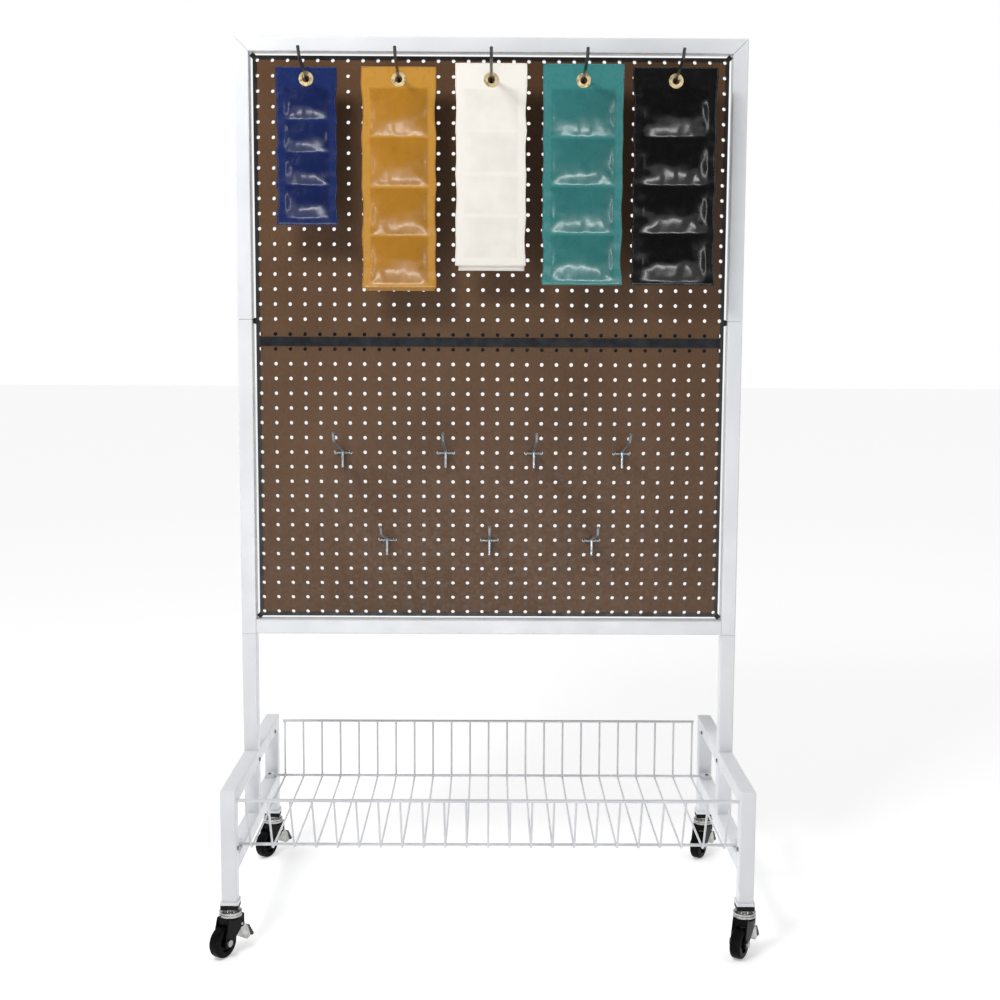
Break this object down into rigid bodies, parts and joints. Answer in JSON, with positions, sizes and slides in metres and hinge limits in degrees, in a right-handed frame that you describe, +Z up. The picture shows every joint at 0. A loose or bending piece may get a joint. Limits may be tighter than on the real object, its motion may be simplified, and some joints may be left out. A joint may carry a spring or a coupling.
{
  "type": "rolling pegboard tool wall",
  "caption": "Rolling white tube frame holding brown pegboards, with peg hooks, hanging vinyl weight pouches, a wire basket below and braked swivel casters.",
  "frame": {"origin": "on the floor, under the centre of the rack, in the mid-plane of the upper frame tubes", "axes": "+X to the right seen from the front, +Z up, front face towards -Y"},
  "size_m": [0.8948, 0.5369, 1.5008],
  "materials": {
    "frame_white": "white powder coat",
    "splice_steel": "plain",
    "hardboard": "smooth hardboard",
    "edging_black": "satin",
    "joiner_black": "gloss",
    "bumper_rubber": "matte",
    "wire_white": "white powder coat",
    "screw_steel": "dark zinc",
    "hook_dark": "dark zinc",
    "hook_zinc": "bright zinc",
    "blue_vinyl": "glossy vinyl",
    "gold_vinyl": "glossy vinyl",
    "cream_vinyl": "matte vinyl",
    "teal_vinyl": "glossy vinyl",
    "black_vinyl": "glossy vinyl",
    "eye_brass": "polished",
    "collar_black": "satin",
    "race_chrome": "polished",
    "fork_black": "satin",
    "axle_steel": "plain",
    "wheel_rubber": "satin",
    "pedal_chrome": "polished"
  },
  "bodies": {
    "rack": {"top_rail": "frame_white", "bottom_rail": "frame_white", "upper_left_post": "frame_white", "upper_right_post": "frame_white", "lower_left_post": "frame_white", "lower_right_post": "frame_white", "left_riser": "frame_white", "right_riser": "frame_white", "tube_splices": "splice_steel", "left_top_bar": "frame_white", "right_top_bar": "frame_white", "left_lower_bar": "frame_white", "right_lower_bar": "frame_white", "left_front_leg": "frame_white", "right_front_leg": "frame_white", "left_rear_leg": "frame_white", "right_rear_leg": "frame_white", "left_strut": "frame_white", "right_strut": "frame_white", "leg_end_plugs": "frame_white", "frame_screws": "screw_steel", "upper_pegboard": "hardboard", "lower_pegboard": "hardboard", "panel_edging": "edging_black", "panel_joiner": "joiner_black", "panel_bumpers": "bumper_rubber", "basket_cross_wires": "wire_white", "basket_long_wires": "wire_white", "basket_clips": "wire_white", "basket_clip_screws": "screw_steel", "pouch_hooks": "hook_dark", "free_hooks": "hook_zinc", "caster_collars": "collar_black", "caster_stems": "race_chrome"},
    "blue_hanging_pouch": {"blue_pouch": "blue_vinyl", "blue_grommet": "eye_brass"},
    "gold_hanging_pouch": {"gold_pouch": "gold_vinyl", "gold_grommet": "eye_brass"},
    "cream_hanging_pouch": {"cream_pouch": "cream_vinyl", "cream_grommet": "eye_brass"},
    "teal_hanging_pouch": {"teal_pouch": "teal_vinyl", "teal_grommet": "eye_brass"},
    "black_hanging_pouch": {"black_pouch": "black_vinyl", "black_grommet": "eye_brass"},
    "front_left_swivel": {"front_left_fork": "fork_black", "front_left_axle": "axle_steel"},
    "front_left_roller": {"front_left_wheel": "wheel_rubber"},
    "front_left_brake": {"front_left_pedal": "pedal_chrome"},
    "front_right_swivel": {"front_right_fork": "fork_black", "front_right_axle": "axle_steel"},
    "front_right_roller": {"front_right_wheel": "wheel_rubber"},
    "front_right_brake": {"front_right_pedal": "pedal_chrome"},
    "rear_left_swivel": {"rear_left_fork": "fork_black", "rear_left_axle": "axle_steel"},
    "rear_left_roller": {"rear_left_wheel": "wheel_rubber"},
    "rear_left_brake": {"rear_left_pedal": "pedal_chrome"},
    "rear_right_swivel": {"rear_right_fork": "fork_black", "rear_right_axle": "axle_steel"},
    "rear_right_roller": {"rear_right_wheel": "wheel_rubber"},
    "rear_right_brake": {"rear_right_pedal": "pedal_chrome"}
  },
  "joints": [
    {"name": "blue_pouch_swing", "type": "hinge", "parent": "rack", "child": "blue_hanging_pouch", "pos_m": [-0.3048, -0.057, 1.42752], "axis": [-1, 0, 0], "range_deg": [-4, 20]},
    {"name": "gold_pouch_swing", "type": "hinge", "parent": "rack", "child": "gold_hanging_pouch", "pos_m": [-0.1524, -0.057, 1.42752], "axis": [-1, 0, 0], "range_deg": [-4, 20]},
    {"name": "cream_pouch_swing", "type": "hinge", "parent": "rack", "child": "cream_hanging_pouch", "pos_m": [0, -0.057, 1.42752], "axis": [-1, 0, 0], "range_deg": [-4, 20]},
    {"name": "teal_pouch_swing", "type": "hinge", "parent": "rack", "child": "teal_hanging_pouch", "pos_m": [0.1524, -0.057, 1.42752], "axis": [-1, 0, 0], "range_deg": [-4, 20]},
    {"name": "black_pouch_swing", "type": "hinge", "parent": "rack", "child": "black_hanging_pouch", "pos_m": [0.3048, -0.057, 1.42752], "axis": [-1, 0, 0], "range_deg": [-4, 20]},
    {"name": "front_left_caster_swivel", "type": "hinge", "parent": "rack", "child": "front_left_swivel", "pos_m": [-0.4191, -0.2286, 0.07], "axis": [0, 0, 1], "continuous": true},
    {"name": "front_left_wheel_spin", "type": "hinge", "parent": "front_left_swivel", "child": "front_left_roller", "pos_m": [-0.4291, -0.24592, 0.0254], "axis": [0.866, -0.5, 0], "continuous": true},
    {"name": "front_left_brake_tilt", "type": "hinge", "parent": "front_left_swivel", "child": "front_left_brake", "pos_m": [-0.4126, -0.21734, 0.0465], "axis": [-0.866, 0.5, 0], "range_deg": [0, 18]},
    {"name": "front_right_caster_swivel", "type": "hinge", "parent": "rack", "child": "front_right_swivel", "pos_m": [0.4191, -0.2286, 0.07], "axis": [0, 0, 1], "continuous": true},
    {"name": "front_right_wheel_spin", "type": "hinge", "parent": "front_right_swivel", "child": "front_right_roller", "pos_m": [0.4091, -0.24592, 0.0254], "axis": [0.866, -0.5, 0], "continuous": true},
    {"name": "front_right_brake_tilt", "type": "hinge", "parent": "front_right_swivel", "child": "front_right_brake", "pos_m": [0.4256, -0.21734, 0.0465], "axis": [-0.866, 0.5, 0], "range_deg": [0, 18]},
    {"name": "rear_left_caster_swivel", "type": "hinge", "parent": "rack", "child": "rear_left_swivel", "pos_m": [-0.4191, 0.2286, 0.07], "axis": [0, 0, 1], "continuous": true},
    {"name": "rear_left_wheel_spin", "type": "hinge", "parent": "rear_left_swivel", "child": "rear_left_roller", "pos_m": [-0.4291, 0.21128, 0.0254], "axis": [0.866, -0.5, 0], "continuous": true},
    {"name": "rear_left_brake_tilt", "type": "hinge", "parent": "rear_left_swivel", "child": "rear_left_brake", "pos_m": [-0.4126, 0.23986, 0.0465], "axis": [-0.866, 0.5, 0], "range_deg": [0, 18]},
    {"name": "rear_right_caster_swivel", "type": "hinge", "parent": "rack", "child": "rear_right_swivel", "pos_m": [0.4191, 0.2286, 0.07], "axis": [0, 0, 1], "continuous": true},
    {"name": "rear_right_wheel_spin", "type": "hinge", "parent": "rear_right_swivel", "child": "rear_right_roller", "pos_m": [0.4091, 0.21128, 0.0254], "axis": [0.866, -0.5, 0], "continuous": true},
    {"name": "rear_right_brake_tilt", "type": "hinge", "parent": "rear_right_swivel", "child": "rear_right_brake", "pos_m": [0.4256, 0.23986, 0.0465], "axis": [-0.866, 0.5, 0], "range_deg": [0, 18]}
  ]
}
